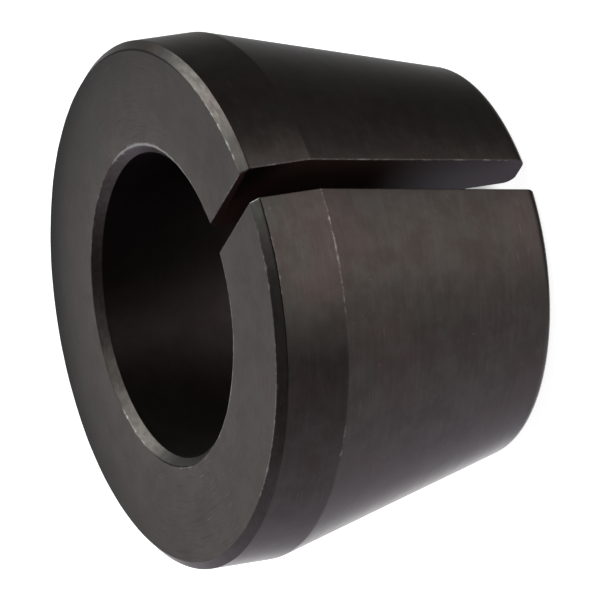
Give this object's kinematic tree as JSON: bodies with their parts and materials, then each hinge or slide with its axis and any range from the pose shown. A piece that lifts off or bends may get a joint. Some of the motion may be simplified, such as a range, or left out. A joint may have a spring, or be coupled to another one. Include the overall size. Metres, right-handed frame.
{
  "type": "collet",
  "caption": "Split taper collet of blackened steel with a through bore, a short cylindrical land beside its wide face and a slit along its whole length.",
  "frame": {"origin": "centre of the small end's face, on the bore's axis", "axes": "+Z along the bore from the small end to the wide face, +X through the slit"},
  "size_m": [0.022, 0.022, 0.014],
  "materials": {
    "black_oxide_steel": "black oxide over a fine turned surface, satin, rubbed bright along its edges"
  },
  "bodies": {
    "root": {"collet": "black_oxide_steel"}
  },
  "joints": []
}
